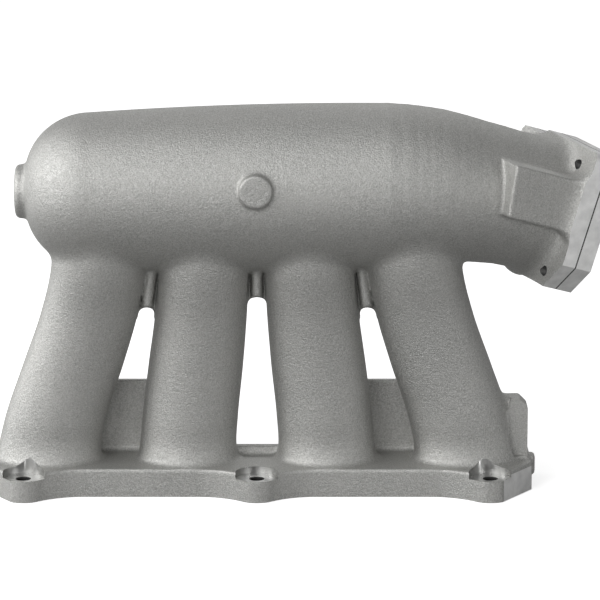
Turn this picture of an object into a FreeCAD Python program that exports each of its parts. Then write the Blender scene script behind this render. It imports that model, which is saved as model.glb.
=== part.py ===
import FreeCAD, Part
import math
import os
from FreeCAD import Vector

# Four-cylinder intake manifold, one hollow aluminium casting with a bolted-on throttle adapter plate.
# Millimetres. +X runs to the throttle end, +Z up, -Y is the front.
# The origin is the middle of the cylinder-head face, on the line through the four ports.

BEYOND = 60.0                   # how far a cutter reaches past what it cuts
SPACE = 400.0                   # side of the boxes that divide the casting

# Head flange
FLANGE_THICKNESS = 19.0
FLANGE_HALF_LENGTH = 184.5
FLANGE_HALF_WIDTH = 31.0        # between the bolt bosses
BOSS_REACH = 46.5               # out to the tip of a bolt boss
BOSS_RADIUS = 14.0
BOSS_BLEND = 45.0               # concave arc on each side of a bolt boss
END_CUT_START_X = 161.3         # where each slanted end cut leaves the outer boss's tip
END_CUT_WIDTH = 12.0            # half width of the flange's two square ends
FRONT_BOLTS_X = (-155.0, 0.0, 155.0)
REAR_BOLTS_X = (-94.0, 94.0)
BOLT_Y = 37.8
BOLT_HOLE_RADIUS = 4.5
SPOT_FACE_RADIUS = 14.2
SPOT_FACE_HEIGHT = 14.5

# Ports and runners
PORT_PITCH = 94.0
PORTS_X = [PORT_PITCH * k for k in (-1.5, -0.5, 0.5, 1.5)]
WALL = 5.0
# height, sideways place as a share of the port's, depth of the centre line, half width, half depth
RUNNER_SECTIONS = (
    (19.0, 1.000, 0.0, 33.8, 27.0),
    (29.0, 0.991, 0.0, 32.5, 24.5),
    (48.0, 0.960, 0.0, 32.1, 24.5),
    (84.0, 0.874, -1.0, 31.7, 25.0),
    (120.0, 0.792, -3.5, 30.6, 26.5),
    (152.0, 0.744, -7.4, 29.8, 29.6),
    (192.0, 0.730, -10.0, 32.0, 32.0),
)
OUTER_RUNNER_WIDTH = 1.06       # runners 1 and 4 lean more, so their level sections are wider
PORT_HALF_WIDTH = 27.5
PORT_HALF_DEPTH = 20.0

# Plenum, a slightly barrelled round chamber on an axis that rises towards the throttle end
PLENUM_START = Vector(-153.5, 0.0, 201.5)
PLENUM_LENGTH = 242.0
PLENUM_RISE_DEG = 1.07
PLENUM_RADIUS_START = 51.2
PLENUM_WIDEST = 182.0           # how far along its axis
PLENUM_RADIUS_WIDEST = 54.9
PLENUM_RADIUS_END = 54.0
DOME_LENGTH = 33.0
DOME_FLAT_RADIUS = 12.4

# Throttle neck and its flange
NECK_END = Vector(187.0, 20.0, 189.0)
NECK_DOWN_DEG = 16.7
NECK_AWAY_DEG = 24.0
NECK_ROLL_DEG = 4.4             # the flange's far side is turned up about the bore
NECK_RADII = (54.0, 51.6, 47.6, 45.2, 45.0)
BORE_RADIUS = 35.0
# the throttle flange's edges, from the bore axis; near is the front, far is the rear
THROTTLE_NEAR = 57.0
THROTTLE_FAR = 50.0
THROTTLE_TOP = 49.0
THROTTLE_BOTTOM = 46.7
THROTTLE_STEP_AT = 14.5         # where the top edge steps down, towards the far side
THROTTLE_STEP = 4.4
THROTTLE_NEAR_CHAMFER = (16.0, 19.0)
THROTTLE_FAR_CHAMFER = 14.0
THROTTLE_TOP_CHAMFER = 3.0
THROTTLE_BOLT_SPACING = 74.0
THROTTLE_FLANGE_THICKNESS = 9.5
GASKET_THICKNESS = 1.0
ADAPTER_THICKNESS = 11.5
THREAD_RADIUS = 3.4
CLEARANCE_RADIUS = 4.25

# Webs between the runners: gap, middle of the gap, top of the open slot
WEBS = (("1_2", -75.5, 125.0), ("2_3", 0.0, 131.0), ("3_4", 75.5, 125.0))
WEB_HALF_THICKNESS = 6.0
WEB_REACH = 16.0                # into the runners on both sides
WEB_RIB_RADIUS = 5.0
SLOT_TOP_RADIUS = 6.0

# Rear panels and lip
PANEL_REACH = 30.0              # half width, ending inside the runners
GUSSET_FRONT_Y = 16.0
GUSSET_THICKNESS = 6.0
GUSSET_TOP = 68.6
LIP_FRONT_Y = 6.0
LIP_THICKNESS = 8.0
LIP_TOP = 27.0

# Round bosses on the plenum
FRONT_BOSS_RADIUS = 11.0
FRONT_BOSS_FACE_Y = -58.5
FRONT_BOSS_Z = 211.3
END_BOSS_RADIUS = 18.0
END_BOSS_FACE_X = -160.7
BOSS_EDGE_RADIUS = 1.5
BOSS_ROOT = 20.0                # length, into the casting

# Flat pad on the neck's front, its right end against the throttle flange
PAD_TOP_LENGTH = 52.7
PAD_BOTTOM_LENGTH = 47.2
PAD_LOW = -6.6
PAD_HIGH = 28.3
PAD_FACE = 53.0                 # from the bore axis
PAD_ROOT = 20.0

# Bracket post and lug at the flange's right end
POST_LEFT_X = 148.0
POST_FACE_X = 170.0
POST_RIGHT_X = 181.6
POST_TOP = 61.0
POST_CHAMFER = 5.5
POST_FRONT_Y = -6.0
POST_REAR_Y = 12.0
POST_STEP = 4.0
LUG_BOTTOM = 8.0
LUG_TOP = 22.0
LUG_HALF_WIDTH = 5.0
LUG_END_X = 187.0

# The throttle flange's own frame: out of the bore, along its width, up its height
down = math.radians(NECK_DOWN_DEG)
away = math.radians(NECK_AWAY_DEG)
BORE_AXIS = Vector(
    math.cos(down) * math.cos(away), math.cos(down) * math.sin(away), -math.sin(down)
)
roll = math.radians(NECK_ROLL_DEG)
LEVEL_AXIS = Vector(-math.sin(away), math.cos(away), 0.0)
WIDTH_AXIS = LEVEL_AXIS * math.cos(roll) + BORE_AXIS.cross(LEVEL_AXIS) * math.sin(roll)
HEIGHT_AXIS = BORE_AXIS.cross(WIDTH_AXIS)

rise = math.radians(PLENUM_RISE_DEG)
PLENUM_AXIS = Vector(math.cos(rise), 0.0, math.sin(rise))
PLENUM_END = PLENUM_START + PLENUM_AXIS * PLENUM_LENGTH


def box(x0, x1, y0, y1, z0, z1):
    """A box between two corners."""
    return Part.makeBox(x1 - x0, y1 - y0, z1 - z0, Vector(x0, y0, z0))


def upright_cylinder(x, y, z0, z1, radius):
    return Part.makeCylinder(radius, z1 - z0, Vector(x, y, z0), Vector(0, 0, 1))


def fuse_all(shapes):
    """One solid from several overlapping ones."""
    joined = shapes[0]
    for shape in shapes[1:]:
        joined = joined.fuse(shape)
    return joined.removeSplitter()


def cut_all(shape, tools):
    for tool in tools:
        shape = shape.cut(tool)
    return shape


def largest_solid(shape):
    """The main body of a cut, without slivers that touch nothing."""
    return max(shape.Solids, key=lambda solid: solid.Volume)


def ellipse_wire(x, y, z, half_width, half_depth):
    """A level oval, wider along X than along Y."""
    return Part.Wire(Part.Ellipse(Vector(x, y, z), half_width, half_depth).toShape())


def runner_widening(port_x):
    return OUTER_RUNNER_WIDTH if abs(port_x) > PORT_PITCH else 1.0


def runner_outer(port_x):
    wider = runner_widening(port_x)
    wires = [
        ellipse_wire(port_x * share, y, z, half_width * wider, half_depth)
        for z, share, y, half_width, half_depth in RUNNER_SECTIONS
    ]
    return Part.makeLoft(wires, True, False)


def runner_duct(port_x):
    """The air passage of one runner, down through the head flange."""
    wider = runner_widening(port_x)
    wires = [ellipse_wire(port_x, 0.0, 0.0, PORT_HALF_WIDTH, PORT_HALF_DEPTH)]
    for z, share, y, half_width, half_depth in RUNNER_SECTIONS[1:]:
        wires.append(
            ellipse_wire(port_x * share, y, z, half_width * wider - WALL, half_depth - WALL)
        )
    return Part.makeLoft(wires, True, False)


def plenum_solid(inset):
    """The round chamber with its domed end, its surface moved in by inset."""
    flat = Vector(inset, 0, DOME_FLAT_RADIUS)
    shoulder = Vector(DOME_LENGTH, 0, PLENUM_RADIUS_START - inset)
    dome_centre = Vector(DOME_LENGTH, 0, DOME_FLAT_RADIUS)
    widest = Vector(PLENUM_WIDEST, 0, PLENUM_RADIUS_WIDEST - inset)
    end_rim = Vector(PLENUM_LENGTH, 0, PLENUM_RADIUS_END - inset)
    ellipse = Part.Ellipse(shoulder, flat, dome_centre)
    start = Vector(inset, 0, 0)
    end = Vector(PLENUM_LENGTH, 0, 0)
    edges = [
        Part.LineSegment(start, flat).toShape(),
        Part.ArcOfEllipse(ellipse, 0.0, math.pi / 2).toShape(),
        Part.Arc(shoulder, widest, end_rim).toShape(),
        Part.LineSegment(end_rim, end).toShape(),
        Part.LineSegment(end, start).toShape(),
    ]
    profile = Part.Face(Part.Wire(Part.__sortEdges__(edges)))
    return along_plenum(profile.revolve(Vector(0, 0, 0), Vector(1, 0, 0), 360))


def neck_path(share):
    """Place and direction along the neck, from the plenum's end to the throttle flange."""
    reach = (NECK_END - PLENUM_END).Length
    s = share
    h00 = 2 * s**3 - 3 * s**2 + 1
    h10 = s**3 - 2 * s**2 + s
    h01 = 3 * s**2 - 2 * s**3
    h11 = s**3 - s**2
    place = (
        PLENUM_END * h00
        + PLENUM_AXIS * (h10 * reach)
        + NECK_END * h01
        + BORE_AXIS * (h11 * reach)
    )
    slope = (
        (PLENUM_END - NECK_END) * (6 * s**2 - 6 * s)
        + PLENUM_AXIS * ((3 * s**2 - 4 * s + 1) * reach)
        + BORE_AXIS * ((3 * s**2 - 2 * s) * reach)
    )
    return place, slope.normalize()


def neck_solid(radii):
    """A smooth round duct through the given radii, evenly spaced along the neck."""
    wires = []
    for index, radius in enumerate(radii):
        place, direction = neck_path(index / (len(radii) - 1))
        wires.append(Part.Wire(Part.Circle(place, direction, radius).toShape()))
    return Part.makeLoft(wires, True, False)


def neck_duct():
    """The neck's air passage, narrowing evenly to the throttle bore."""
    first = NECK_RADII[0] - WALL
    steps = len(NECK_RADII) - 1
    radii = [first + (BORE_RADIUS - first) * index / steps for index in range(steps + 1)]
    return neck_solid(radii)


def boss_outline(bolt_x, side):
    """Outline points and arcs of one bolt boss, from its left blend to its right blend."""
    centre_y = side * (BOSS_REACH - BOSS_RADIUS)
    blend_y = side * (FLANGE_HALF_WIDTH + BOSS_BLEND)
    drop = abs(blend_y - centre_y)
    blend_dx = math.sqrt((BOSS_RADIUS + BOSS_BLEND) ** 2 - drop**2)
    edges = []
    touch = []
    for hand in (-1, 1):
        blend = Vector(bolt_x + hand * blend_dx, blend_y, 0)
        to_boss = Vector(bolt_x, centre_y, 0) - blend
        to_boss.normalize()
        foot = Vector(blend.x, side * FLANGE_HALF_WIDTH, 0)
        tangent = blend + to_boss * BOSS_BLEND
        chord = (foot + tangent) * 0.5 - blend
        chord.normalize()
        middle = blend + chord * BOSS_BLEND
        edges.append(Part.Arc(foot, middle, tangent).toShape())
        touch.append((foot, tangent))
    tip = Vector(bolt_x, side * BOSS_REACH, 0)
    edges.insert(1, Part.Arc(touch[0][1], tip, touch[1][1]).toShape())
    return edges, touch[0][0], touch[1][0]


def boss_prism(bolt_x, side):
    """A bolt boss with its two concave blends, closed well inside the flange."""
    edges, left, right = boss_outline(bolt_x, side)
    inner_left = Vector(left.x, 0, 0)
    inner_right = Vector(right.x, 0, 0)
    edges.append(Part.LineSegment(right, inner_right).toShape())
    edges.append(Part.LineSegment(inner_right, inner_left).toShape())
    edges.append(Part.LineSegment(inner_left, left).toShape())
    face = Part.Face(Part.Wire(Part.__sortEdges__(edges)))
    return face.extrude(Vector(0, 0, FLANGE_THICKNESS))


def flange_plate():
    """Base plate with its scalloped edges, and its ends cut to a blunt point."""
    shapes = [
        box(
            -FLANGE_HALF_LENGTH,
            FLANGE_HALF_LENGTH,
            -FLANGE_HALF_WIDTH,
            FLANGE_HALF_WIDTH,
            0,
            FLANGE_THICKNESS,
        )
    ]
    shapes += [boss_prism(x, -1) for x in FRONT_BOLTS_X]
    shapes += [boss_prism(x, 1) for x in REAR_BOLTS_X]
    plate = fuse_all(shapes)
    ends = box(
        -FLANGE_HALF_LENGTH, FLANGE_HALF_LENGTH, -BEYOND, BEYOND, 0, FLANGE_THICKNESS
    )
    plate = plate.common(ends)
    for hand in (-1, 1):
        corner = [
            Vector(hand * END_CUT_START_X, -BOSS_REACH, 0),
            Vector(hand * FLANGE_HALF_LENGTH, -END_CUT_WIDTH, 0),
            Vector(hand * (FLANGE_HALF_LENGTH + BEYOND), -END_CUT_WIDTH, 0),
            Vector(hand * (FLANGE_HALF_LENGTH + BEYOND), -BEYOND, 0),
            Vector(hand * END_CUT_START_X, -BEYOND, 0),
        ]
        wedge = Part.Face(Part.makePolygon(corner + corner[:1]))
        plate = plate.cut(wedge.extrude(Vector(0, 0, FLANGE_THICKNESS)))
    return plate


def spot_faces():
    """Machined recesses over the front bolt holes, cut through flange and runner feet alike."""
    top = SPOT_FACE_HEIGHT + BEYOND
    return [
        upright_cylinder(x, -BOLT_Y, SPOT_FACE_HEIGHT, top, SPOT_FACE_RADIUS)
        for x in FRONT_BOLTS_X
    ]


def bolt_holes():
    places = [(x, -BOLT_Y) for x in FRONT_BOLTS_X] + [(x, BOLT_Y) for x in REAR_BOLTS_X]
    return [
        upright_cylinder(x, y, -1, FLANGE_THICKNESS + 1, BOLT_HOLE_RADIUS) for x, y in places
    ]


def plate_point(across, up, out=0.0):
    """A point in the throttle flange's own frame."""
    return NECK_END + WIDTH_AXIS * across + HEIGHT_AXIS * up + BORE_AXIS * out


def throttle_outline():
    """Corners of the throttle flange as (across, up), from its near top corner."""
    near, far = -THROTTLE_NEAR, THROTTLE_FAR
    top, bottom = THROTTLE_TOP, -THROTTLE_BOTTOM
    far_top = top - THROTTLE_STEP
    small, large = THROTTLE_TOP_CHAMFER, THROTTLE_FAR_CHAMFER
    near_across, near_up = THROTTLE_NEAR_CHAMFER
    return [
        (near + small, top), (THROTTLE_STEP_AT, top), (THROTTLE_STEP_AT, far_top),
        (far - small, far_top), (far, far_top - small),
        (far, bottom + large), (far - large, bottom),
        (near + near_across, bottom), (near, bottom + near_up), (near, top - small),
    ]


def throttle_plate(start, thickness, hole_radius):
    """One layer of the throttle flange, with its bore and four corner holes."""
    corners = [plate_point(across, up, start) for across, up in throttle_outline()]
    face = Part.Face(Part.makePolygon(corners + corners[:1]))
    plate = face.extrude(BORE_AXIS * thickness)
    bore = Part.makeCylinder(
        BORE_RADIUS, thickness + 2, plate_point(0, 0, start - 1), BORE_AXIS
    )
    plate = plate.cut(bore)
    half = THROTTLE_BOLT_SPACING / 2
    for across in (-half, half):
        for up in (-half, half):
            hole = Part.makeCylinder(
                hole_radius, thickness + 2, plate_point(across, up, start - 1), BORE_AXIS
            )
            plate = plate.cut(hole)
    return plate


def neck_pad():
    """Block that stands on the neck's front, with its left end slanted."""
    corners = [
        plate_point(-PAD_FACE, PAD_LOW),
        plate_point(-PAD_FACE, PAD_HIGH),
        plate_point(-PAD_FACE, PAD_HIGH, -PAD_TOP_LENGTH),
        plate_point(-PAD_FACE, PAD_LOW, -PAD_BOTTOM_LENGTH),
    ]
    face = Part.Face(Part.makePolygon(corners + corners[:1]))
    return face.extrude(WIDTH_AXIS * (PAD_FACE - PAD_ROOT))


def web(middle_x, slot_top):
    """Rib between two runners, its lower edge arched over the open slot."""
    top = PLENUM_START.z
    bottom = slot_top - SLOT_TOP_RADIUS
    plate = box(
        middle_x - WEB_REACH, middle_x + WEB_REACH,
        -WEB_HALF_THICKNESS, WEB_HALF_THICKNESS, bottom, top,
    )
    rib = upright_cylinder(middle_x, -WEB_HALF_THICKNESS, bottom, top, WEB_RIB_RADIUS)
    arch = Part.makeCylinder(
        SLOT_TOP_RADIUS, 2 * BEYOND, Vector(middle_x, -BEYOND, bottom), Vector(0, 1, 0)
    )
    return plate.fuse(rib).cut(arch).removeSplitter()


def bracket_post():
    """Upright post beside runner 4, with a flat front face and a chamfered top corner."""
    block = box(
        POST_LEFT_X, POST_RIGHT_X,
        POST_FRONT_Y + POST_STEP, POST_REAR_Y, FLANGE_THICKNESS, POST_TOP,
    )
    face = box(
        POST_FACE_X, POST_RIGHT_X,
        POST_FRONT_Y, POST_REAR_Y, FLANGE_THICKNESS, POST_TOP,
    )
    post = block.fuse(face).removeSplitter()
    corner = [
        Vector(POST_RIGHT_X - POST_CHAMFER, -BEYOND, POST_TOP),
        Vector(POST_RIGHT_X, -BEYOND, POST_TOP - POST_CHAMFER),
        Vector(POST_RIGHT_X, -BEYOND, POST_TOP),
    ]
    wedge = Part.Face(Part.makePolygon(corner + corner[:1]))
    return post.cut(wedge.extrude(Vector(0, 2 * BEYOND, 0)))


def round_boss(face_point, direction, radius):
    """A round boss with a softened rim, grown back into the casting."""
    boss = Part.makeCylinder(radius, BOSS_ROOT, face_point, direction)
    rim = [
        edge for edge in boss.Edges
        if edge.Curve.TypeId == "Part::GeomCircle"
        and edge.Curve.Center.isEqual(face_point, 0.01)
    ]
    return boss.makeFillet(BOSS_EDGE_RADIUS, rim)


def along_plenum(solid):
    """A solid drawn on the X axis, moved onto the plenum's axis."""
    solid.rotate(Vector(0, 0, 0), Vector(0, 1, 0), -PLENUM_RISE_DEG)
    solid.translate(PLENUM_START)
    return solid


def build():
    """All nodes, name to solid. A later zone of the casting gives way to an earlier one."""
    runners = [runner_outer(x) for x in PORTS_X]
    plenum = plenum_solid(0.0)
    neck = neck_solid(NECK_RADII)
    cavity = [runner_duct(x) for x in PORTS_X] + [plenum_solid(WALL), neck_duct()]
    recesses = spot_faces()
    nodes = {}

    nodes["head_flange"] = cut_all(flange_plate(), cavity[:4] + recesses + bolt_holes())

    shell = cut_all(plenum, cavity)
    upper = along_plenum(box(-SPACE, SPACE, -SPACE, SPACE, 0, SPACE))
    dome_space = along_plenum(box(-SPACE, DOME_LENGTH, -SPACE, SPACE, -SPACE, SPACE))
    nodes["plenum_end_dome"] = shell.common(dome_space)
    barrel = shell.cut(dome_space)
    nodes["plenum_upper_shell"] = barrel.common(upper)
    nodes["plenum_lower_shell"] = barrel.cut(upper)

    for index, outer in enumerate(runners):
        runner = cut_all(outer, cavity + recesses + [plenum, neck])
        nodes[f"runner_{index + 1}"] = largest_solid(runner)

    nodes["throttle_neck"] = cut_all(neck, cavity)
    throttle_flange = throttle_plate(0.0, THROTTLE_FLANGE_THICKNESS, THREAD_RADIUS)
    nodes["throttle_flange"] = throttle_flange
    nodes["throttle_gasket"] = throttle_plate(
        THROTTLE_FLANGE_THICKNESS, GASKET_THICKNESS, CLEARANCE_RADIUS
    )
    nodes["throttle_adapter_plate"] = throttle_plate(
        THROTTLE_FLANGE_THICKNESS + GASKET_THICKNESS, ADAPTER_THICKNESS, CLEARANCE_RADIUS
    )
    nodes["neck_pad"] = largest_solid(cut_all(neck_pad(), [neck, plenum]))

    for gap, middle_x, slot_top in WEBS:
        nodes[f"web_{gap}"] = largest_solid(
            cut_all(web(middle_x, slot_top), runners + [plenum, neck])
        )
    for gap, middle_x in (("1_2", -PORT_PITCH), ("3_4", PORT_PITCH)):
        panel = box(
            middle_x - PANEL_REACH, middle_x + PANEL_REACH,
            GUSSET_FRONT_Y, GUSSET_FRONT_Y + GUSSET_THICKNESS, FLANGE_THICKNESS, GUSSET_TOP,
        )
        nodes[f"rear_gusset_{gap}"] = largest_solid(cut_all(panel, runners))
    lip = box(
        -PANEL_REACH, PANEL_REACH,
        LIP_FRONT_Y, LIP_FRONT_Y + LIP_THICKNESS, FLANGE_THICKNESS, LIP_TOP,
    )
    nodes["rear_lip"] = largest_solid(cut_all(lip, runners))

    front_face = Vector(0, FRONT_BOSS_FACE_Y, FRONT_BOSS_Z)
    front = round_boss(front_face, Vector(0, 1, 0), FRONT_BOSS_RADIUS)
    nodes["front_boss"] = largest_solid(front.cut(plenum))
    end_face = Vector(END_BOSS_FACE_X, 0, PLENUM_START.z)
    end = round_boss(end_face, Vector(1, 0, 0), END_BOSS_RADIUS)
    nodes["end_boss"] = largest_solid(end.cut(plenum))

    post = cut_all(bracket_post(), [runners[3]])
    nodes["bracket_post"] = largest_solid(post)
    lug = box(
        POST_FACE_X, LUG_END_X, -LUG_HALF_WIDTH, LUG_HALF_WIDTH, LUG_BOTTOM, LUG_TOP
    )
    nodes["locating_lug"] = largest_solid(cut_all(lug, [flange_plate(), bracket_post()]))
    return nodes


os.makedirs("parts", exist_ok=True)
for name, shape in build().items():
    solids = shape.Solids
    if len(solids) != 1 or not shape.isValid():
        print("check", name, len(solids), shape.isValid())
    shape.exportStep(f"parts/{name}.step")
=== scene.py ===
import math

import bmesh
import bpy
import numpy as np
import openvdb
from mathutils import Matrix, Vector


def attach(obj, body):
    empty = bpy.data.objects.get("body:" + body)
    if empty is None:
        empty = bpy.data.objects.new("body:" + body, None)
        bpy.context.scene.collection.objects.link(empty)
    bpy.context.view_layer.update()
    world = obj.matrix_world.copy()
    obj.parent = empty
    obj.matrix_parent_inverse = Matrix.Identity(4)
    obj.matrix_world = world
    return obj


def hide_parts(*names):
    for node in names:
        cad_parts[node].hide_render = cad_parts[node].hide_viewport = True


# The casting is worked out as a distance field in millimetres, with cast fillets where zones meet.
# It is meshed, machined with crisp cutters, and cut into one closed piece per zone.
MM = 0.001
VOXEL = 1.4
FIELD_LOW = np.array((-190.0, -64.0, -8.0))
FIELD_HIGH = np.array((248.0, 98.0, 266.0))
FAR = 1.0e3
BELOW = 3.0                     # stock left under the head face for the mill

# Head flange
FLANGE_THICKNESS = 19.0
FLANGE_HALF_LENGTH = 184.5
FLANGE_HALF_WIDTH = 31.0
BOSS_REACH = 46.5
BOSS_RADIUS = 14.0
BOSS_BLEND = 45.0
END_CUT_START_X = 161.3
END_CUT_WIDTH = 12.0
FRONT_BOLTS_X = (-155.0, 0.0, 155.0)
REAR_BOLTS_X = (-94.0, 94.0)
BOLT_Y = 37.8
BOLT_HOLE_RADIUS = 4.5
SPOT_FACE_RADIUS = 14.2
SPOT_FACE_HEIGHT = 14.5

# Ports and runners: height, sideways share, depth of the centre line, half width, half depth
PORTS_X = (-141.0, -47.0, 47.0, 141.0)
WALL = 5.0
RUNNER_SECTIONS = np.array((
    (19.0, 1.000, 0.0, 33.8, 27.0),
    (29.0, 0.991, 0.0, 32.5, 24.5),
    (48.0, 0.960, 0.0, 32.1, 24.5),
    (84.0, 0.874, -1.0, 31.7, 25.0),
    (120.0, 0.792, -3.5, 30.6, 26.5),
    (152.0, 0.744, -7.4, 29.8, 29.6),
    (192.0, 0.730, -10.0, 32.0, 32.0),
))
OUTER_RUNNER_WIDTH = 1.06       # of an outer runner, by that of an inner one
RUNNER_END_Z = 196.0            # inside the plenum
PORT_HALF_WIDTH = 27.5
PORT_HALF_DEPTH = 20.0

# Plenum and neck
PLENUM_START = np.array((-153.5, 0.0, 201.5))
PLENUM_LENGTH = 242.0
PLENUM_RISE = math.radians(1.07)
PLENUM_PROFILE = ((44.0, 51.5), (182.0, 54.9), (242.0, 54.0))
DOME_LENGTH = 44.0
DOME_FLAT_RADIUS = 9.0
NECK_END = np.array((187.0, 20.0, 189.0))
NECK_DOWN = math.radians(16.7)
NECK_AWAY = math.radians(24.0)
NECK_ROLL = math.radians(4.4)
NECK_RADII = (54.0, 51.6, 47.6, 45.2, 45.0)
BORE_RADIUS = 35.0
# the throttle flange's edges, from the bore axis: near is the front, far is the rear
THROTTLE_NEAR = 57.0
THROTTLE_FAR = 50.0
THROTTLE_TOP = 49.0
THROTTLE_BOTTOM = 46.7
THROTTLE_STEP_AT = 14.5
THROTTLE_STEP = 4.4
THROTTLE_FAR_TOP = 44.6
THROTTLE_FAR_TOP_CHAMFER = 3.0
THROTTLE_NEAR_CHAMFER = (16.0, 19.0)
THROTTLE_FAR_CHAMFER = 14.0
THROTTLE_TOP_CHAMFER = 3.0
THROTTLE_BOLT_SPACING = 74.0
THROTTLE_FLANGE_THICKNESS = 9.5
THREAD_RADIUS = 3.4
THREAD_DEPTH = 0.6
THREAD_PITCH = 1.25
THREAD_START = -1.5
THREAD_TURNS = 12

PLENUM_AXIS = np.array((math.cos(PLENUM_RISE), 0.0, math.sin(PLENUM_RISE)))
PLENUM_END = PLENUM_START + PLENUM_AXIS * PLENUM_LENGTH
BORE_AXIS = np.array((
    math.cos(NECK_DOWN) * math.cos(NECK_AWAY),
    math.cos(NECK_DOWN) * math.sin(NECK_AWAY),
    -math.sin(NECK_DOWN),
))
LEVEL_AXIS = np.array((-math.sin(NECK_AWAY), math.cos(NECK_AWAY), 0.0))
WIDTH_AXIS = LEVEL_AXIS * math.cos(NECK_ROLL) + np.cross(BORE_AXIS, LEVEL_AXIS) * math.sin(NECK_ROLL)
HEIGHT_AXIS = np.cross(BORE_AXIS, WIDTH_AXIS)

# Flat pad on the neck's front, in the throttle flange's own frame
PAD_LOW = -6.6
PAD_HIGH = 28.3
PAD_FACE = 53.0
PAD_ROOT = 20.0
PAD_TOP_LENGTH = 52.7
PAD_BOTTOM_LENGTH = 47.2

# Ribs between the runners: middle, lean, top of the open slot, radius of its arch
WEBS = ((-73.2, -0.142, 125.0, 5.4), (0.0, 0.0, 132.0, 7.0), (73.2, 0.142, 125.0, 5.4))
WEB_HALF_WIDTH = 16.0
WEB_FRONT_Y = -1.0
WEB_REAR_Y = 6.0
WEB_EDGE = 1.5
RIB_RADIUS = 3.6
ARCH_FRONT_Y = -11.4            # where the arch of the slot is highest
RIB_CORE_Y = (-8.0, 0.0)        # the round rib is drawn out between these depths
ARCH_RISE = 0.22                # how the slot's arch rises towards the front, per unit of depth

# Panels behind the outer gaps, the lip behind the middle one, and the post at the right
ROOT_Z = 10.0                   # inside the head flange
GUSSET_X = 94.0
GUSSET_HALF_WIDTH = 31.0
GUSSET_Y = (16.0, 22.0)
GUSSET_TOP = 68.6
GUSSET_EDGE = 0.8
LIP_HALF_WIDTH = 26.0
LIP_Y = (6.0, 14.0)
LIP_TOP = 25.0
LIP_EDGE = 1.2
POST_LEFT_X = 150.0
POST_FACE_LEFT_X = 170.0
POST_RIGHT_X = 181.6
POST_TOP = 61.0
POST_BEVEL = 5.5
POST_REAR_Y = 12.0
POST_SIDE_Y = -2.0
POST_FRONT_Y = -7.5             # as cast; milled back to the next
POST_MILLED_Y = -6.0
LUG_LOW = (178.0, -5.0, 8.0)
LUG_HIGH = (187.0, 5.0, 22.0)
LUG_EDGE = 2.0

# Undrilled round bosses
FRONT_BOSS_Z = 211.3
FRONT_BOSS_RADIUS = 11.0
FRONT_BOSS_Y = (-58.5, -40.0)
END_BOSS_RADIUS = 18.0
END_BOSS_X = (-159.8, -140.0)

# Cast fillets, as the reach of each blend
BLEND_RUNNER_TO_PLENUM = 4.5
BLEND_RUNNER_TO_RUNNER = 2.0
BLEND_FOOT = 5.0
BLEND_POST = 6.0
BLEND_SMALL = 2.5
BLEND_RIB = 1.4
BLEND_RIB_TO_WEB = 3.0
BLEND_PLATE = 12.0
BLEND_INSIDE = 8.0

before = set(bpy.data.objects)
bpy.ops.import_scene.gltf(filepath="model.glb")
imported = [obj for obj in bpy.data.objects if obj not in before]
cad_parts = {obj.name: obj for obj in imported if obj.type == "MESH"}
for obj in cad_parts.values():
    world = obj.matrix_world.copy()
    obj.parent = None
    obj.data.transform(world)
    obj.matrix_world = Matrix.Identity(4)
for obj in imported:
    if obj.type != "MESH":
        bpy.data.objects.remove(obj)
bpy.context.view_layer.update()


# ---------------------------------------------------------------- distance fields

def axis_points(low, high):
    return np.arange(low, high + VOXEL, VOXEL, dtype=np.float32)


GX = axis_points(FIELD_LOW[0], FIELD_HIGH[0])[:, None, None]
GY = axis_points(FIELD_LOW[1], FIELD_HIGH[1])[None, :, None]
GZ = axis_points(FIELD_LOW[2], FIELD_HIGH[2])[None, None, :]
SHAPE = (GX.size, GY.size, GZ.size)


def full(field):
    return np.broadcast_to(field, SHAPE).astype(np.float32)


def blend(a, b, reach):
    """Union of two fields with a fillet of about that reach."""
    h = np.maximum(reach - np.abs(a - b), 0.0) / reach
    return np.minimum(a, b) - h * h * (reach * 0.25)


def carve(a, b, reach):
    """Field a without field b, the edge softened over reach."""
    return -blend(-a, b, reach)


def smooth_table(z, column):
    """A column of the runner table at heights z, as a smooth curve through its rows."""
    heights = RUNNER_SECTIONS[:, 0]
    values = RUNNER_SECTIONS[:, column]
    slopes = np.gradient(values, heights)
    z = np.clip(z, heights[0], heights[-1])
    k = np.clip(np.searchsorted(heights, z, side="right") - 1, 0, len(heights) - 2)
    span = heights[k + 1] - heights[k]
    t = (z - heights[k]) / span
    return (
        values[k] * (2 * t**3 - 3 * t**2 + 1)
        + slopes[k] * span * (t**3 - 2 * t**2 + t)
        + values[k + 1] * (3 * t**2 - 2 * t**3)
        + slopes[k + 1] * span * (t**3 - t**2)
    )


def oval(dx, dy, half_width, half_depth):
    """Distance to a level oval, near its edge."""
    f = np.sqrt((dx / half_width) ** 2 + (dy / half_depth) ** 2) + 1e-6
    grade = np.sqrt((dx / half_width**2) ** 2 + (dy / half_depth**2) ** 2) / f + 1e-6
    return np.clip((f - 1.0) / grade, -60, 200)


def runner_field(port_x, inset):
    z = GZ.ravel().astype(float)
    share, depth, half_width, half_depth = (
        smooth_table(z, column)[None, None, :].astype(np.float32) for column in (1, 2, 3, 4)
    )
    if abs(port_x) > 100:
        half_width = half_width * OUTER_RUNNER_WIDTH
    if inset:
        half_width = half_width - inset
        half_depth = half_depth - inset
        foot = np.clip(GZ / float(RUNNER_SECTIONS[1, 0]), 0.0, 1.0)
        half_width = PORT_HALF_WIDTH + (half_width - PORT_HALF_WIDTH) * foot
        half_depth = PORT_HALF_DEPTH + (half_depth - PORT_HALF_DEPTH) * foot
    side = oval(GX - port_x * share, GY - depth, half_width, half_depth)
    return np.maximum(side, GZ - RUNNER_END_Z)


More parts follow.
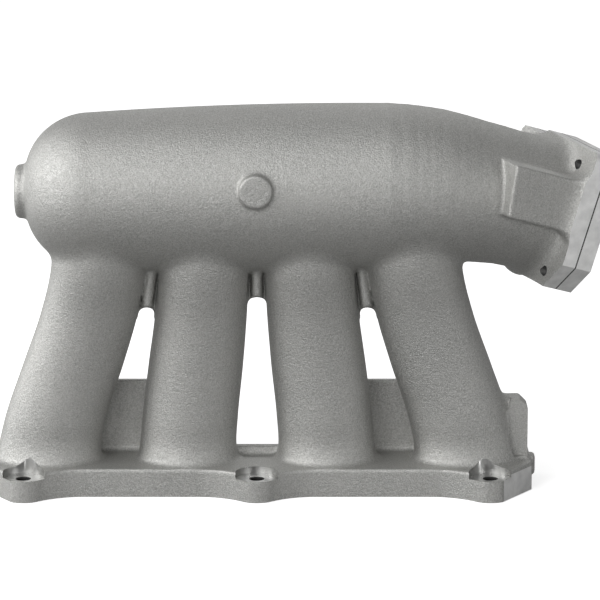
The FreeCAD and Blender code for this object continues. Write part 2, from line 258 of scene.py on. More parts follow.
def plenum_field(inset):
    px, py, pz = (GX - PLENUM_START[0], GY - PLENUM_START[1], GZ - PLENUM_START[2])
    along = px * PLENUM_AXIS[0] + pz * PLENUM_AXIS[2]
    across = pz * PLENUM_AXIS[0] - px * PLENUM_AXIS[2]
    radial = np.sqrt(py**2 + across**2)
    places, radii = zip(*PLENUM_PROFILE)
    curve = np.polyfit(places, radii, 2)
    barrel = radial - np.polyval(curve, np.clip(along, places[0], places[-1])) + inset
    semi_x = DOME_LENGTH - inset
    semi_r = radii[0] - inset - DOME_FLAT_RADIUS
    u = np.maximum(DOME_LENGTH - along, 0.0)
    v = np.maximum(radial - DOME_FLAT_RADIUS, 0.0)
    dome = oval(u, v, semi_x, semi_r)
    field = np.where(along < DOME_LENGTH, dome, barrel)
    return np.maximum(field, along - PLENUM_LENGTH)


def neck_path(share):
    """Place and direction along the neck, from the plenum's end to the throttle flange."""
    reach = np.linalg.norm(NECK_END - PLENUM_END)
    s = share
    place = (
        PLENUM_END * (2 * s**3 - 3 * s**2 + 1)
        + PLENUM_AXIS * ((s**3 - 2 * s**2 + s) * reach)
        + NECK_END * (3 * s**2 - 2 * s**3)
        + BORE_AXIS * ((s**3 - s**2) * reach)
    )
    slope = (
        (PLENUM_END - NECK_END) * (6 * s**2 - 6 * s)
        + PLENUM_AXIS * ((3 * s**2 - 4 * s + 1) * reach)
        + BORE_AXIS * ((3 * s**2 - 2 * s) * reach)
    )
    return place, slope / np.linalg.norm(slope)


def neck_radius(share, inset):
    """Outer radius with no inset; with one, the duct that narrows evenly to the bore."""
    if not inset:
        return float(np.interp(share, np.linspace(0, 1, len(NECK_RADII)), NECK_RADII))
    return (NECK_RADII[0] - inset) * (1 - share) + BORE_RADIUS * share


def plate_frame(out_only=False):
    """Grid coordinates in the throttle flange's own frame: across, up, out."""
    d = (GX - NECK_END[0], GY - NECK_END[1], GZ - NECK_END[2])
    axes = (BORE_AXIS,) if out_only else (WIDTH_AXIS, HEIGHT_AXIS, BORE_AXIS)
    return [d[0] * a[0] + d[1] * a[1] + d[2] * a[2] for a in axes]


def neck_field(inset, steps=16):
    field = np.full(SHAPE, FAR, np.float32)
    first = int(max(0, (PLENUM_END[0] - 62 - FIELD_LOW[0]) / VOXEL))
    x = GX[first:]
    for k in range(steps):
        a, _ = neck_path(k / steps)
        b, _ = neck_path((k + 1) / steps)
        ra = neck_radius(k / steps, inset)
        rb = neck_radius((k + 1) / steps, inset)
        ab = b - a
        dx, dy, dz = x - a[0], GY - a[1], GZ - a[2]
        t = np.clip((dx * ab[0] + dy * ab[1] + dz * ab[2]) / (ab @ ab), 0, 1)
        gap = np.sqrt((dx - t * ab[0]) ** 2 + (dy - t * ab[1]) ** 2 + (dz - t * ab[2]) ** 2)
        np.minimum(field[first:], gap - (ra + (rb - ra) * t), out=field[first:])
    return field


def block(low, high, edge):
    """A box between two corners with rounded edges."""
    gaps = []
    for g, a, b in zip((GX, GY, GZ), low, high):
        gaps.append(np.abs(g - (a + b) / 2) - (b - a) / 2 + edge)
    return rounded(gaps, edge)


def rounded(gaps, edge):
    outside = np.sqrt(sum(np.maximum(g, 0.0) ** 2 for g in gaps))
    inside = np.minimum(np.maximum(np.maximum(gaps[0], gaps[1]), gaps[2]), 0.0)
    return outside + inside - edge


def disc_field(centre, direction, radius, low, high, edge):
    """A round boss about an axis, from low to high along it, with a rounded rim."""
    d = [g - c for g, c in zip((GX, GY, GZ), centre)]
    along = sum(a * b for a, b in zip(d, direction))
    radial = np.sqrt(np.maximum(sum(a * a for a in d) - along**2, 0.0))
    wide = radial - radius + edge
    tall = np.abs(along - (low + high) / 2) - (high - low) / 2 + edge
    outside = np.sqrt(np.maximum(wide, 0) ** 2 + np.maximum(tall, 0) ** 2)
    return outside + np.minimum(np.maximum(wide, tall), 0) - edge


def flange_outline():
    """The flange's outline as points, before its ends are cut."""
    def edge_points(bolts, side):
        points = []
        centre_y = side * (BOSS_REACH - BOSS_RADIUS)
        blend_y = side * (FLANGE_HALF_WIDTH + BOSS_BLEND)
        reach = BOSS_RADIUS + BOSS_BLEND
        blend_dx = math.sqrt(reach**2 - (blend_y - centre_y) ** 2)
        lean = math.asin(blend_dx / reach)
        for x in bolts:
            for a in np.linspace(0, lean, 10):
                points.append((
                    x - blend_dx + BOSS_BLEND * math.sin(a),
                    blend_y - side * BOSS_BLEND * math.cos(a),
                ))
            for a in np.linspace(-lean, lean, 17)[1:-1]:
                points.append((
                    x + BOSS_RADIUS * math.sin(a),
                    centre_y + side * BOSS_RADIUS * math.cos(a),
                ))
            for a in np.linspace(lean, 0, 10):
                points.append((
                    x + blend_dx - BOSS_BLEND * math.sin(a),
                    blend_y - side * BOSS_BLEND * math.cos(a),
                ))
        return points

    far = FLANGE_HALF_LENGTH + 20
    front = [(-far, -FLANGE_HALF_WIDTH)] + edge_points(FRONT_BOLTS_X, -1)
    front += [(far, -FLANGE_HALF_WIDTH)]
    rear = [(-far, FLANGE_HALF_WIDTH)] + edge_points(REAR_BOLTS_X, 1)
    rear += [(far, FLANGE_HALF_WIDTH)]
    return np.array(front + rear[::-1])


def polygon_distance(x, y, points):
    """Distance to a closed outline, negative inside."""
    best = np.full(np.broadcast(x, y).shape, FAR)
    inside = np.zeros(best.shape, bool)
    for (ax, ay), (bx, by) in zip(points, np.roll(points, -1, axis=0)):
        ex, ey = bx - ax, by - ay
        t = np.clip(((x - ax) * ex + (y - ay) * ey) / (ex * ex + ey * ey), 0, 1)
        best = np.minimum(best, np.hypot(x - ax - t * ex, y - ay - t * ey))
        if ay != by:
            crosses = (ay > y) != (by > y)
            inside ^= crosses & (x < (bx - ax) * (y - ay) / (by - ay) + ax)
    return np.where(inside, -best, best)


def flange_field(edge=1.2):
    x, y = GX[:, :, 0], GY[:, :, 0]
    side = polygon_distance(x, y, flange_outline())
    start = (END_CUT_START_X, BOSS_REACH)
    end = (FLANGE_HALF_LENGTH, END_CUT_WIDTH)
    run = math.hypot(end[0] - start[0], end[1] - start[1])
    normal = ((start[1] - end[1]) / run, (end[0] - start[0]) / run)
    corner = (np.abs(x) - start[0]) * normal[0] + (-y - start[1]) * normal[1]
    side = np.maximum(side, corner)
    side = np.maximum(side, np.abs(x) - FLANGE_HALF_LENGTH)
    wide = side[:, :, None] + edge
    tall = GZ - FLANGE_THICKNESS + edge
    outside = np.sqrt(np.maximum(wide, 0) ** 2 + np.maximum(tall, 0) ** 2)
    return outside + np.minimum(np.maximum(wide, tall), 0) - edge


def web_field(middle_x, lean, slot_top, arch_radius):
    """Rib between two runners, its lower edge arched over the open slot."""
    x = GX - middle_x + lean * (GZ - slot_top)
    foot = slot_top - arch_radius
    drop = np.clip(GY - ARCH_FRONT_Y, 0.0, WEB_FRONT_Y - ARCH_FRONT_Y) * ARCH_RISE
    deep = np.abs(GY - (WEB_FRONT_Y + WEB_REAR_Y) / 2) - (WEB_REAR_Y - WEB_FRONT_Y) / 2 + WEB_EDGE
    plate = rounded([full(np.abs(x) - WEB_HALF_WIDTH), full(deep), full(foot - 3.0 - GZ)], WEB_EDGE)
    depth = np.maximum(np.maximum(RIB_CORE_Y[0] - GY, GY - RIB_CORE_Y[1]), 0.0)
    rib = np.maximum(np.hypot(x, depth) - RIB_RADIUS, foot - 2.0 - GZ)
    arch = np.hypot(x, GZ - foot + drop) - arch_radius
    web = carve(blend(plate, full(rib), BLEND_RIB_TO_WEB), full(arch), WEB_EDGE)
    return np.maximum(web, full(GZ - PLENUM_START[2]))


def throttle_outline():
    """Corners of the throttle flange as (across, up), from its near top corner."""
    near, far = -THROTTLE_NEAR, THROTTLE_FAR
    top, bottom = THROTTLE_TOP, -THROTTLE_BOTTOM
    far_top, far_cut = THROTTLE_FAR_TOP, THROTTLE_FAR_TOP_CHAMFER
    small, large = THROTTLE_TOP_CHAMFER, THROTTLE_FAR_CHAMFER
    near_across, near_up = THROTTLE_NEAR_CHAMFER
    return [
        (near + small, top), (THROTTLE_STEP_AT, top), (THROTTLE_STEP_AT, top - THROTTLE_STEP),
        (far - far_cut, far_top), (far, far_top - far_cut),
        (far, bottom + large), (far - large, bottom),
        (near + near_across, bottom), (near, bottom + near_up), (near, top - small),
    ]


def casting_field():
    """The whole casting: outside shape with its fillets, less the air passages."""
    across, up, out = plate_frame()
    shell = blend(full(plenum_field(0.0)), np.maximum(neck_field(0.0), full(out)), 0.5)

    runners = full(runner_field(PORTS_X[0], 0.0))
    for port_x in PORTS_X[1:]:
        runners = blend(runners, full(runner_field(port_x, 0.0)), BLEND_RUNNER_TO_RUNNER)
    for web in WEBS:
        runners = blend(runners, web_field(*web), BLEND_RIB)
    for side in (-1, 1):
        low = (side * GUSSET_X - GUSSET_HALF_WIDTH, GUSSET_Y[0], ROOT_Z)
        high = (side * GUSSET_X + GUSSET_HALF_WIDTH, GUSSET_Y[1], GUSSET_TOP)
        runners = blend(runners, full(block(low, high, GUSSET_EDGE)), BLEND_SMALL)
    lip = block((-LIP_HALF_WIDTH, LIP_Y[0], ROOT_Z), (LIP_HALF_WIDTH, LIP_Y[1], LIP_TOP), LIP_EDGE)
    runners = blend(runners, full(lip), BLEND_SMALL)
    post_high = (POST_RIGHT_X, POST_REAR_Y, POST_TOP)
    post = np.minimum(
        full(block((POST_LEFT_X, POST_SIDE_Y, ROOT_Z), post_high, 1.5)),
        full(block((POST_FACE_LEFT_X, POST_FRONT_Y, ROOT_Z), post_high, 1.0)),
    )
    bevel = (GX - POST_RIGHT_X + GZ - POST_TOP + POST_BEVEL) / math.sqrt(2)
    post = np.maximum(post, full(bevel))
    runners = blend(runners, post, BLEND_POST)

    body = blend(shell, runners, BLEND_RUNNER_TO_PLENUM)
    body = blend(body, full(flange_field()), BLEND_FOOT)
    lug = block(LUG_LOW, LUG_HIGH, LUG_EDGE)
    body = blend(body, full(lug), 1.5)

    rise = np.clip((up - PAD_LOW) / (PAD_HIGH - PAD_LOW), 0, 1)
    length = PAD_BOTTOM_LENGTH + rise * (PAD_TOP_LENGTH - PAD_BOTTOM_LENGTH)
    pad_gaps = [
        full(np.abs(across + (PAD_FACE + PAD_ROOT) / 2) - (PAD_FACE - PAD_ROOT) / 2 + 1.2),
        full(np.abs(up - (PAD_LOW + PAD_HIGH) / 2) - (PAD_HIGH - PAD_LOW) / 2 + 1.2),
        full(np.abs(out + length / 2 + 0.6) - length / 2 + 1.8),
    ]
    body = blend(body, rounded(pad_gaps, 1.2), BLEND_SMALL)
    front = disc_field((0, 0, FRONT_BOSS_Z), (0, 1, 0), FRONT_BOSS_RADIUS, *FRONT_BOSS_Y, 1.5)
    body = blend(body, full(front), BLEND_SMALL)
    end = disc_field((0, 0, PLENUM_START[2]), (1, 0, 0), END_BOSS_RADIUS, *END_BOSS_X, 3.5)
    body = blend(body, full(end), 3.0)
    far_cut = THROTTLE_FAR_TOP_CHAMFER
    top_edge = np.interp(
        across,
        (THROTTLE_STEP_AT - 2, THROTTLE_STEP_AT, THROTTLE_FAR - far_cut, THROTTLE_FAR),
        (THROTTLE_TOP, THROTTLE_TOP - THROTTLE_STEP, THROTTLE_FAR_TOP, THROTTLE_FAR_TOP - far_cut),
    )
    plate_gaps = [
        full(np.maximum(across - THROTTLE_FAR, -across - THROTTLE_NEAR) - 1.5),
        full(np.maximum(up - top_edge, -up - THROTTLE_BOTTOM) - 1.5),
        full(np.abs(out - 6.5) - 6.5),
    ]
    body = blend(body, rounded(plate_gaps, 0.0), BLEND_PLATE)

    air = blend(full(plenum_field(WALL)), neck_field(WALL), 0.5)
    for port_x in PORTS_X:
        air = blend(air, full(runner_field(port_x, WALL)), BLEND_INSIDE)
    return np.maximum(carve(body, air, 1.5), full(-BELOW - GZ))


# ---------------------------------------------------------------- meshes

CAST, MILLED, SEAT, THREAD_PAINTED_SHADE, DRILLED_PAINTED_SHADE, CAP = range(6)
field = casting_field()


def sample(points):
    """The casting's distance at points in millimetres."""
    place = (points - FIELD_LOW) / VOXEL
    cell = np.clip(np.floor(place).astype(int), 0, np.array(SHAPE) - 2)
    t = place - cell
    i, j, k = cell.T
    u, v, w = t.T
    total = 0.0
    for a, wa in ((0, 1 - u), (1, u)):
        for b, wb in ((0, 1 - v), (1, v)):
            for c, wc in ((0, 1 - w), (1, w)):
                total = total + wa * wb * wc * field[i + a, j + b, k + c]
    return total


def slope(points):
    step = 0.6 * VOXEL
    parts = []
    for axis in np.eye(3) * step:
        parts.append((sample(points + axis) - sample(points - axis)) / (2 * step))
    return np.stack(parts, axis=1)


def new_object(name, points, faces, finish):
    """A mesh object from points in millimetres, all faces with one finish."""
    mesh = bpy.data.meshes.new(name)
    mesh.from_pydata((np.asarray(points, float) * MM).tolist(), [], faces)
    for material in finishes:
        mesh.materials.append(material)
    mesh.polygons.foreach_set("material_index", [finish] * len(mesh.polygons))
    mesh.update()
    thing = bpy.data.objects.new(name, mesh)
    bpy.context.scene.collection.objects.link(thing)
    return thing


def closed(name, points, faces, finish):
    thing = new_object(name, points, faces, finish)
    work = bmesh.new()
    work.from_mesh(thing.data)
    bmesh.ops.recalc_face_normals(work, faces=work.faces)
    work.to_mesh(thing.data)
    work.free()
    return thing


def rings_to_solid(name, rings, finish):
    """A closed solid through rings of equal length, capped at both ends."""
    n = len(rings[0])
    points = [p for ring in rings for p in ring]
    faces = [list(range(n)), list(range(len(points) - n, len(points)))]
    for r in range(len(rings) - 1):
        for a in range(n):
            b = (a + 1) % n
            faces.append([r * n + a, r * n + b, (r + 1) * n + b, (r + 1) * n + a])
    return closed(name, points, faces, finish)


def prism(name, outline, low, high, finish, axes=None, origin=(0, 0, 0)):
    """An outline in the first two axes, drawn out from low to high along the third."""
    a, b, c = np.eye(3) if axes is None else [np.asarray(v, float) for v in axes]
    rings = [[np.asarray(origin) + a * u + b * v + c * w for u, v in outline] for w in (low, high)]
    return rings_to_solid(name, rings, finish)


def cuboid(name, low, high, finish=CAP):
    outline = [(low[0], low[1]), (high[0], low[1]), (high[0], high[1]), (low[0], high[1])]
    return prism(name, outline, low[2], high[2], finish)


def side_prism(name, outline_xz, y0, y1, finish=CAP):
    """An outline in X and Z, drawn out along Y."""
    return prism(name, outline_xz, y0, y1, finish, axes=((1, 0, 0), (0, 0, 1), (0, 1, 0)))


def turned(name, profile, origin, axis, finish, around=72):
    """A round solid from (along, radius) pairs."""
    axis = np.asarray(axis, float)
    side = np.cross(axis, (0.0, 1.0, 0.0) if abs(axis[1]) < 0.9 else (1.0, 0.0, 0.0))
    side /= np.linalg.norm(side)
    other = np.cross(axis, side)
    turns = np.linspace(0, 2 * math.pi, around, endpoint=False)
    rings = [
        [np.asarray(origin) + axis * w + (side * math.cos(t) + other * math.sin(t)) * r for t in turns]
        for w, r in profile
    ]
    return rings_to_solid(name, rings, finish)


def combine(target, tool, operation):
    """Target after a boolean with tool, as a new mesh; target keeps its own."""
    step = target.modifiers.new("cut", "BOOLEAN")
    step.solver = "MANIFOLD"
    step.operation = operation
    step.object = tool
    depsgraph = bpy.context.evaluated_depsgraph_get()
    mesh = bpy.data.meshes.new_from_object(target.evaluated_get(depsgraph))
    target.modifiers.remove(step)
    return mesh


def machine(target, tool):
    target.data = combine(target, tool, "DIFFERENCE")
    bpy.data.objects.remove(tool)


def take(rest, region, name):
    """Cuts the part of rest inside region off as a piece of its own."""
    mesh = combine(rest, region, "INTERSECT")
    rest.data = combine(rest, region, "DIFFERENCE")
    bpy.data.objects.remove(region)
    mesh.name = name
    piece = bpy.data.objects.new(name, mesh)
    bpy.context.scene.collection.objects.link(piece)
    return piece


def mesh_casting():
    grid = openvdb.FloatGrid(FAR)
    grid.copyFromArray(np.clip(field, -3 * VOXEL, 3 * VOXEL))
    points, quads = grid.convertToQuads(0.0)
    points = points * VOXEL + FIELD_LOW
    for _ in range(2):
        grade = slope(points)
        size = np.maximum((grade**2).sum(1), 0.2)
        step = (sample(points) / size)[:, None] * grade
        points = points - np.clip(step, -0.4 * VOXEL, 0.4 * VOXEL)
    return closed("casting", points, quads.tolist(), CAST)


def machine_all(casting):
    machine(casting, cuboid("mill", (-300, -200, -50), (300, 200, 0), MILLED))
    for x in FRONT_BOLTS_X:
        seat = [(SPOT_FACE_HEIGHT, SPOT_FACE_RADIUS), (SPOT_FACE_HEIGHT + 60, SPOT_FACE_RADIUS)]
        machine(casting, turned("seat", seat, (x, -BOLT_Y, 0), (0, 0, 1), SEAT))
    rear = [(x, BOLT_Y, FLANGE_THICKNESS) for x in REAR_BOLTS_X]
    for x, y, top in [(x, -BOLT_Y, SPOT_FACE_HEIGHT) for x in FRONT_BOLTS_X] + rear:
        hole = [
            (-1, BOLT_HOLE_RADIUS), (top - 0.6, BOLT_HOLE_RADIUS),
            (top + 0.4, BOLT_HOLE_RADIUS + 1.0), (top + 1, BOLT_HOLE_RADIUS + 1.6),
        ]
        # The drilled holes and their chamfers take a near-black finish, which is painted shade for the
        # dark inside of each hole.
        machine(casting, turned("drill", hole, (x, y, 0), (0, 0, 1), DRILLED_PAINTED_SHADE, 48))
    for side in (-1, 1):
        corner = [
            (side * END_CUT_START_X, -BOSS_REACH), (side * FLANGE_HALF_LENGTH, -END_CUT_WIDTH),
            (side * 250, -END_CUT_WIDTH), (side * 250, -90), (side * END_CUT_START_X, -90),
        ]
        machine(casting, prism("end_mill", corner, -5, 26, MILLED))
    machine(casting, cuboid("face_mill", (168.5, -12, 22), (190, POST_MILLED_Y, 70), CAP))

    axes = (WIDTH_AXIS, HEIGHT_AXIS, BORE_AXIS)
    square = [(-70, -70), (70, -70), (70, 70), (-70, 70)]
    frame_mill = prism("frame_mill", square, -2.2, 20, MILLED, axes, NECK_END)
    keep = prism("keep", throttle_outline(), -6, 24, MILLED, axes, NECK_END)
    machine(frame_mill, keep)
    machine(casting, frame_mill)
    top = THROTTLE_FLANGE_THICKNESS
    machine(casting, prism("fly_cut", square, top, top + 20, MILLED, axes, NECK_END))
    bore = [(-5, BORE_RADIUS), (top + 5, BORE_RADIUS)]
    machine(casting, turned("bore", bore, NECK_END, BORE_AXIS, MILLED, 120))
    half = THROTTLE_BOLT_SPACING / 2
    thread = []
    for turn in range(THREAD_TURNS):
        start = THREAD_START + turn * THREAD_PITCH
        thread.append((start, THREAD_RADIUS))
        thread.append((start + THREAD_PITCH / 2, THREAD_RADIUS + THREAD_DEPTH))
    for a in (-half, half):
        for u in (-half, half):
            place = NECK_END + WIDTH_AXIS * a + HEIGHT_AXIS * u
            # The tapped holes take a near-black finish, which is painted shade for the dark inside of
            # each hole.
            machine(casting, turned("tap", thread, place, BORE_AXIS, THREAD_PAINTED_SHADE, 36))


def plenum_region(name, low, high):
    """A box from low to high in the plenum's own frame: along, sideways, up."""
    up = np.cross(PLENUM_AXIS, (0.0, 1.0, 0.0))
    outline = [(low[0], low[1]), (high[0], low[1]), (high[0], high[1]), (low[0], high[1])]
    axes = (PLENUM_AXIS, (0.0, 1.0, 0.0), up)
    return prism(name, outline, low[2], high[2], CAP, axes, PLENUM_START)


def divide(rest):
    """One closed piece for each zone of the casting, by the name of its CAD node.

    The free-standing zones are cut off first, each with a region a little larger than itself.
    """
    pieces = {}

    def cut_off(name, region):
        pieces[name] = take(rest, region, name + "_cast")

    axes = (WIDTH_AXIS, HEIGHT_AXIS, BORE_AXIS)
    plate_space = [(-70, -70), (70, -70), (70, 70), (-70, 70)]
    cut_off("locating_lug", cuboid("r", (181.8, -8, 6.5), (195, 8, 24)))
    post_space = [(172, 19.6), (184, 19.6), (184, 66), (160.5, 66)]
    cut_off("bracket_post", side_prism("r", post_space, -10, 14.5))
    cut_off("throttle_flange", prism("r", plate_space, -4, 30, CAP, axes, NECK_END))
    pad_space = [(-60, -11), (-42, -11), (-42, 32), (-60, 32)]
    cut_off("neck_pad", prism("r", pad_space, -58, 2, CAP, axes, NECK_END))
    cut_off("front_boss", cuboid("r", (-14.5, -66, 196.5), (14.5, -50.4, 226)))
    cut_off("end_boss", cuboid("r", (-170, -24, 177.5), (-150.6, 24, 225.5)))
    for gap, side in (("1_2", -1), ("3_4", 1)):
        lean = [(side * 84, 110), (side * 66.5, 110), (side * 64.3, 150), (side * 74.0, 150)]
        cut_off("web_" + gap, side_prism("r", lean, -15, 10))
    cut_off("web_2_3", side_prism("r", [(-8.5, 115), (8.5, 115), (5.4, 152), (-5.4, 152)], -15, 10))
    for gap, side in (("1_2", -1), ("3_4", 1)):
        cut_off("rear_gusset_" + gap, cuboid("r", (side * 91 - 22, 15, 20.5), (side * 91 + 22, 26, 72)))
    cut_off("rear_lip", cuboid("r", (-16, 3.5, 19.6), (16, 17, 31)))
    cut_off("head_flange", cuboid("r", (-300, -200, -20), (300, 200, 24)))
    low_x, high_x, bottom, top = 93.1, 68.8, 20, 163
    gap_line = [(low_x, bottom), (high_x, top)]
    for name, outline in (
        ("runner_1", [(-220, bottom), (-low_x, bottom), (-high_x, top), (-220, top)]),
        ("runner_4", [gap_line[0], (220, bottom), (220, 126), (140, 150), (88, top), gap_line[1]]),
        ("runner_2", [(-120, bottom), (0, bottom), (0, top), (-120, top)]),
        ("runner_3", [(0, bottom), (low_x + 1, bottom), (high_x + 2, top), (0, top)]),
    ):
        cut_off(name, side_prism("r", outline, -90, 90))
    cut_off("plenum_end_dome", plenum_region("r", (-40, -90, -90), (DOME_LENGTH, 90, 90)))
    cut_off("throttle_neck", plenum_region("r", (PLENUM_LENGTH, -90, -160), (400, 120, 120)))
    cut_off("plenum_upper_shell", plenum_region("r", (0, -90, 0), (300, 90, 90)))
    rest.name = "plenum_lower_shell_cast"
    pieces["plenum_lower_shell"] = rest
    return pieces


def finish_surface(piece):
    """Smooth shading from the distance field on cast faces, crisp machined faces elsewhere."""
    mesh = piece.data
    mesh.polygons.foreach_set("use_smooth", [True] * len(mesh.polygons))
    mesh.set_sharp_from_angle(angle=math.radians(30))
    corner_of = np.empty(len(mesh.loops), int)
    mesh.loops.foreach_get("vertex_index", corner_of)
    points = np.empty(len(mesh.vertices) * 3)
    mesh.vertices.foreach_get("co", points)
    kinds = np.empty(len(mesh.polygons), int)
    mesh.polygons.foreach_get("material_index", kinds)
    counts = np.empty(len(mesh.polygons), int)
    mesh.polygons.foreach_get("loop_total", counts)
    grade = slope(points.reshape(-1, 3) / MM)
    grade /= np.maximum(np.linalg.norm(grade, axis=1), 1e-6)[:, None]
    cast = np.repeat(kinds == CAST, counts)
    normals = np.where(cast[:, None], grade[corner_of], 0.0)
    mesh.normals_split_custom_set(normals.tolist())


# ---------------------------------------------------------------- finishes

def new_material(name, base, roughness, metallic):
    material = bpy.data.materials.new(name)
    material.use_nodes = True
    shader = material.node_tree.nodes["Principled BSDF"]
    shader.inputs["Base Color"].default_value = (*base, 1)
    shader.inputs["Roughness"].default_value = roughness
    shader.inputs["Metallic"].default_value = metallic
    return material, shader


def add(tree, kind, inputs=None, **settings):
    """A node with its inputs set, or linked where an input is a socket."""
    node = tree.nodes.new(kind)
    for key, value in settings.items():
        setattr(node, key, value)
    for key, value in (inputs or {}).items():
        if isinstance(value, bpy.types.NodeSocket):
            tree.links.new(value, node.inputs[key])
        else:
            node.inputs[key].default_value = value
    return node


def place_of(tree):
    return add(tree, "ShaderNodeTexCoord").outputs["Object"]


def noise(tree, place, scale, detail=2.0, rough=0.5):
    inputs = {"Vector": place, "Scale": scale, "Detail": detail, "Roughness": rough}
    return add(tree, "ShaderNodeTexNoise", inputs).outputs["Fac"]


def spread(tree, value, low, high, to_low=0.0, to_high=1.0):
    inputs = {"Value": value, "From Min": low, "From Max": high, "To Min": to_low, "To Max": to_high}
    return add(tree, "ShaderNodeMapRange", inputs).outputs["Result"]


def mix_colour(tree, factor, a, b):
    node = add(tree, "ShaderNodeMix", data_type="RGBA")
    tree.links.new(factor, node.inputs[0])
    for index, colour in ((6, a), (7, b)):
        if isinstance(colour, bpy.types.NodeSocket):
            tree.links.new(colour, node.inputs[index])
        else:
            node.inputs[index].default_value = (*colour, 1)
    return node.outputs[2]


def calc(tree, operation, a, b=None):
    inputs = {0: a} if b is None else {0: a, 1: b}
    return add(tree, "ShaderNodeMath", inputs, operation=operation).outputs[0]


def cast_finish():
    material, shader = new_material("cast_aluminium_bare", (0.5, 0.5, 0.48), 0.55, 1.0)
    tree = material.node_tree
    place = place_of(tree)
    grain = noise(tree, place, 1150.0, 3.0, 0.65)
    coarse = noise(tree, place, 420.0, 3.0, 0.6)
    patches = noise(tree, place, 26.0, 4.0, 0.6)
    speckle = spread(tree, grain, 0.35, 0.65)
    colour = mix_colour(tree, speckle, (0.37, 0.37, 0.356), (0.63, 0.63, 0.614))
    tone = spread(tree, patches, 0.3, 0.7)
    colour = mix_colour(tree, spread(tree, tone, 0.0, 1.0, 0.0, 0.35), colour, (0.60, 0.595, 0.575))
    tree.links.new(colour, shader.inputs["Base Color"])
    tree.links.new(spread(tree, coarse, 0.3, 0.7, 0.50, 0.64), shader.inputs["Roughness"])
    height = calc(tree, "ADD", calc(tree, "MULTIPLY", grain, 1.0), calc(tree, "MULTIPLY", coarse, 0.7))
    bump = add(tree, "ShaderNodeBump", {"Height": height, "Strength": 0.75, "Distance": 0.0006})
    tree.links.new(bump.outputs["Normal"], shader.inputs["Normal"])
    return material


def milled_finish(name, base, pitch=0.0009):
    """Milled metal with fine parallel tool lines, bright at a pale base; at a near-black base it is
    painted shade for the inside of a hole.
    """
    material, shader = new_material(name, base, 0.46, 0.65)
    tree = material.node_tree
    place = place_of(tree)
    lines = add(
        tree, "ShaderNodeTexWave",
        {
            "Vector": place, "Scale": 1.0 / pitch / 20.0,
            "Distortion": 0.6, "Detail": 2.0, "Detail Scale": 0.4,
        },
        wave_type="BANDS", bands_direction="DIAGONAL",
    ).outputs["Fac"]
    blotch = noise(tree, place, 150.0, 3.0)
    darker = tuple(0.82 * c for c in base)
    colour = mix_colour(tree, spread(tree, blotch, 0.3, 0.7), darker, base)
    tree.links.new(colour, shader.inputs["Base Color"])
    tree.links.new(spread(tree, blotch, 0.3, 0.7, 0.42, 0.54), shader.inputs["Roughness"])
    bump = add(tree, "ShaderNodeBump", {"Height": lines, "Strength": 0.3, "Distance": 0.0001})
    tree.links.new(bump.outputs["Normal"], shader.inputs["Normal"])
    return material


def seat_finish():
    """Spot faces: rings left by the tool, about each front bolt."""
    material, shader = new_material("spot_faced_aluminium", (0.72, 0.72, 0.71), 0.3, 1.0)
    tree = material.node_tree
    place = place_of(tree)
    parts = add(tree, "ShaderNodeSeparateXYZ", {"Vector": place}).outputs
    half_pitch = 0.5 * FRONT_BOLTS_X[2] * MM
    dx = calc(tree, "PINGPONG", calc(tree, "ABSOLUTE", parts["X"]), half_pitch)
    dy = calc(tree, "ADD", parts["Y"], BOLT_Y * MM)
    squares = calc(tree, "ADD", calc(tree, "POWER", dx, 2.0), calc(tree, "POWER", dy, 2.0))
    radius = calc(tree, "SQRT", squares)
    rings = calc(tree, "SINE", calc(tree, "MULTIPLY", radius, 2 * math.pi / (0.9 * MM)))
    wear = noise(tree, place, 220.0, 3.0)
    shade = calc(tree, "ADD", calc(tree, "MULTIPLY", rings, 0.25), wear)
    tree.links.new(
        mix_colour(tree, spread(tree, shade, 0.2, 0.8), (0.46, 0.46, 0.45), (0.68, 0.68, 0.67)),
        shader.inputs["Base Color"],
    )
    tree.links.new(spread(tree, wear, 0.3, 0.7, 0.26, 0.4), shader.inputs["Roughness"])
    bump = add(tree, "ShaderNodeBump", {"Height": rings, "Strength": 0.25, "Distance": 0.0001})
    tree.links.new(bump.outputs["Normal"], shader.inputs["Normal"])
    return material


def gasket_finish():
    material, shader = new_material("fibre_gasket", (0.06, 0.06, 0.06), 0.85, 0.0)
    tree = material.node_tree
    fibres = noise(tree, place_of(tree), 700.0, 4.0, 0.7)
    colour = mix_colour(tree, fibres, (0.03, 0.03, 0.03), (0.10, 0.10, 0.095))
    tree.links.new(colour, shader.inputs["Base Color"])
    bump = add(tree, "ShaderNodeBump", {"Height": fibres, "Strength": 0.4, "Distance": 0.0002})
    tree.links.new(bump.outputs["Normal"], shader.inputs["Normal"])
    return material


def floor_finish():
    """Pale to the camera; a dimmer matt surface to the light that it sends back to the object."""
    material, shader = new_material("pale_floor", (0.32, 0.32, 0.32), 0.9, 0.0)
    tree = material.node_tree
    pale = add(tree, "ShaderNodeBsdfDiffuse", {"Color": (0.9, 0.9, 0.9, 1)})
    glow = add(tree, "ShaderNodeEmission", {"Color": (1, 1, 1, 1), "Strength": 0.62})
    lit = add(tree, "ShaderNodeAddShader", {0: pale.outputs[0], 1: glow.outputs[0]})
    seen = add(tree, "ShaderNodeLightPath").outputs["Is Camera Ray"]
    both = add(tree, "ShaderNodeMixShader", {0: seen, 1: shader.outputs[0], 2: lit.outputs[0]})
    tree.links.new(both.outputs[0], tree.nodes["Material Output"].inputs["Surface"])
    return material


# ---------------------------------------------------------------- stage

def add_light(name, place, target, size, power):
    data = bpy.data.lights.new(name, "AREA")
    data.shape = "RECTANGLE"
    data.size, data.size_y = size
    data.energy = power
    light = bpy.data.objects.new(name, data)
    light.location = place
    light.rotation_euler = (Vector(target) - Vector(place)).to_track_quat("-Z", "Y").to_euler()
    bpy.context.scene.collection.objects.link(light)


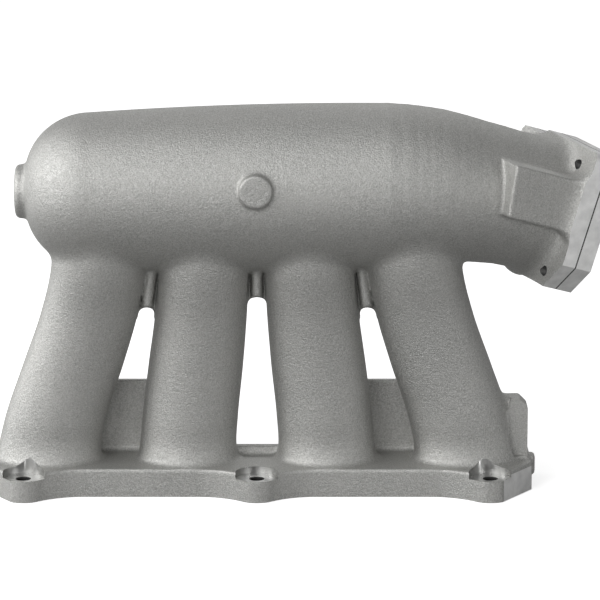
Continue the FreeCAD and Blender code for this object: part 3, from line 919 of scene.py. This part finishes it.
def build_stage():
    outline = [(-6000, -6000), (6000, -6000), (6000, 6000), (-6000, 6000)]
    floor = new_object("floor", [(x, y, -0.2) for x, y in outline], [(0, 1, 2, 3)], CAST)
    floor.data.materials.clear()
    floor.data.materials.append(floor_finish())

    middle = (0.0, 0.0, 0.13)
    add_light("key", (-1.8, -1.3, 1.7), middle, (3.0, 2.2), 52)
    add_light("left", (-2.7, 0.4, 0.6), middle, (2.8, 1.8), 40)
    add_light("fill", (-0.9, -2.7, 0.7), middle, (1.8, 1.2), 11)
    add_light("low", (1.9, -1.8, 0.3), middle, (0.9, 0.5), 8)
    add_light("rim", (0.4, 2.3, 1.9), middle, (2.6, 1.0), 8)

    world = bpy.data.worlds.new("studio")
    world.use_nodes = True
    tree = world.node_tree
    sky = tree.nodes["Background"]
    seen = add(tree, "ShaderNodeLightPath").outputs["Is Camera Ray"]
    tree.links.new(spread(tree, seen, 0.0, 1.0, 0.3, 1.0), sky.inputs["Strength"])
    sky.inputs["Color"].default_value = (1.0, 1.0, 1.0, 1)
    scene = bpy.context.scene
    scene.world = world
    scene.view_settings.view_transform = "Standard"

    camera = bpy.data.cameras.new("camera")
    camera.sensor_width = 36.0
    camera.lens = 197.7
    camera.clip_end = 50.0
    holder = bpy.data.objects.new("camera", camera)
    lift = math.radians(12.5)
    aim = Vector((0.0287, 0.0, 0.1276))
    holder.location = aim + Vector((0.0, -math.cos(lift), math.sin(lift))) * 2.2
    holder.rotation_euler = (aim - holder.location).to_track_quat("-Z", "Y").to_euler()
    scene.collection.objects.link(holder)
    scene.camera = holder


# ---------------------------------------------------------------- build

finishes = [
    cast_finish(),
    milled_finish("milled_aluminium", (0.93, 0.93, 0.92)),
    seat_finish(),
    # Near-black base: painted shade standing in for the dark inside of the tapped holes; the metal
    # itself is bright.
    milled_finish("tapped_hole_painted_shade", (0.12, 0.12, 0.117)),
    # Near-black base: painted shade standing in for the dark inside of the drilled bolt holes and their
    # chamfers.
    milled_finish("drilled_hole_painted_shade", (0.05, 0.05, 0.049)),
]
finishes.append(finishes[CAST])

casting = mesh_casting()
machine_all(casting)
for node, piece in divide(casting).items():
    finish_surface(piece)
    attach(piece, "root")
    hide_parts(node)

for node, finish in (
    ("throttle_gasket", gasket_finish()),
    ("throttle_adapter_plate", milled_finish("adapter_plate_aluminium", (0.93, 0.93, 0.92))),
):
    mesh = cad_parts[node].data
    mesh.materials.clear()
    mesh.materials.append(finish)

build_stage()
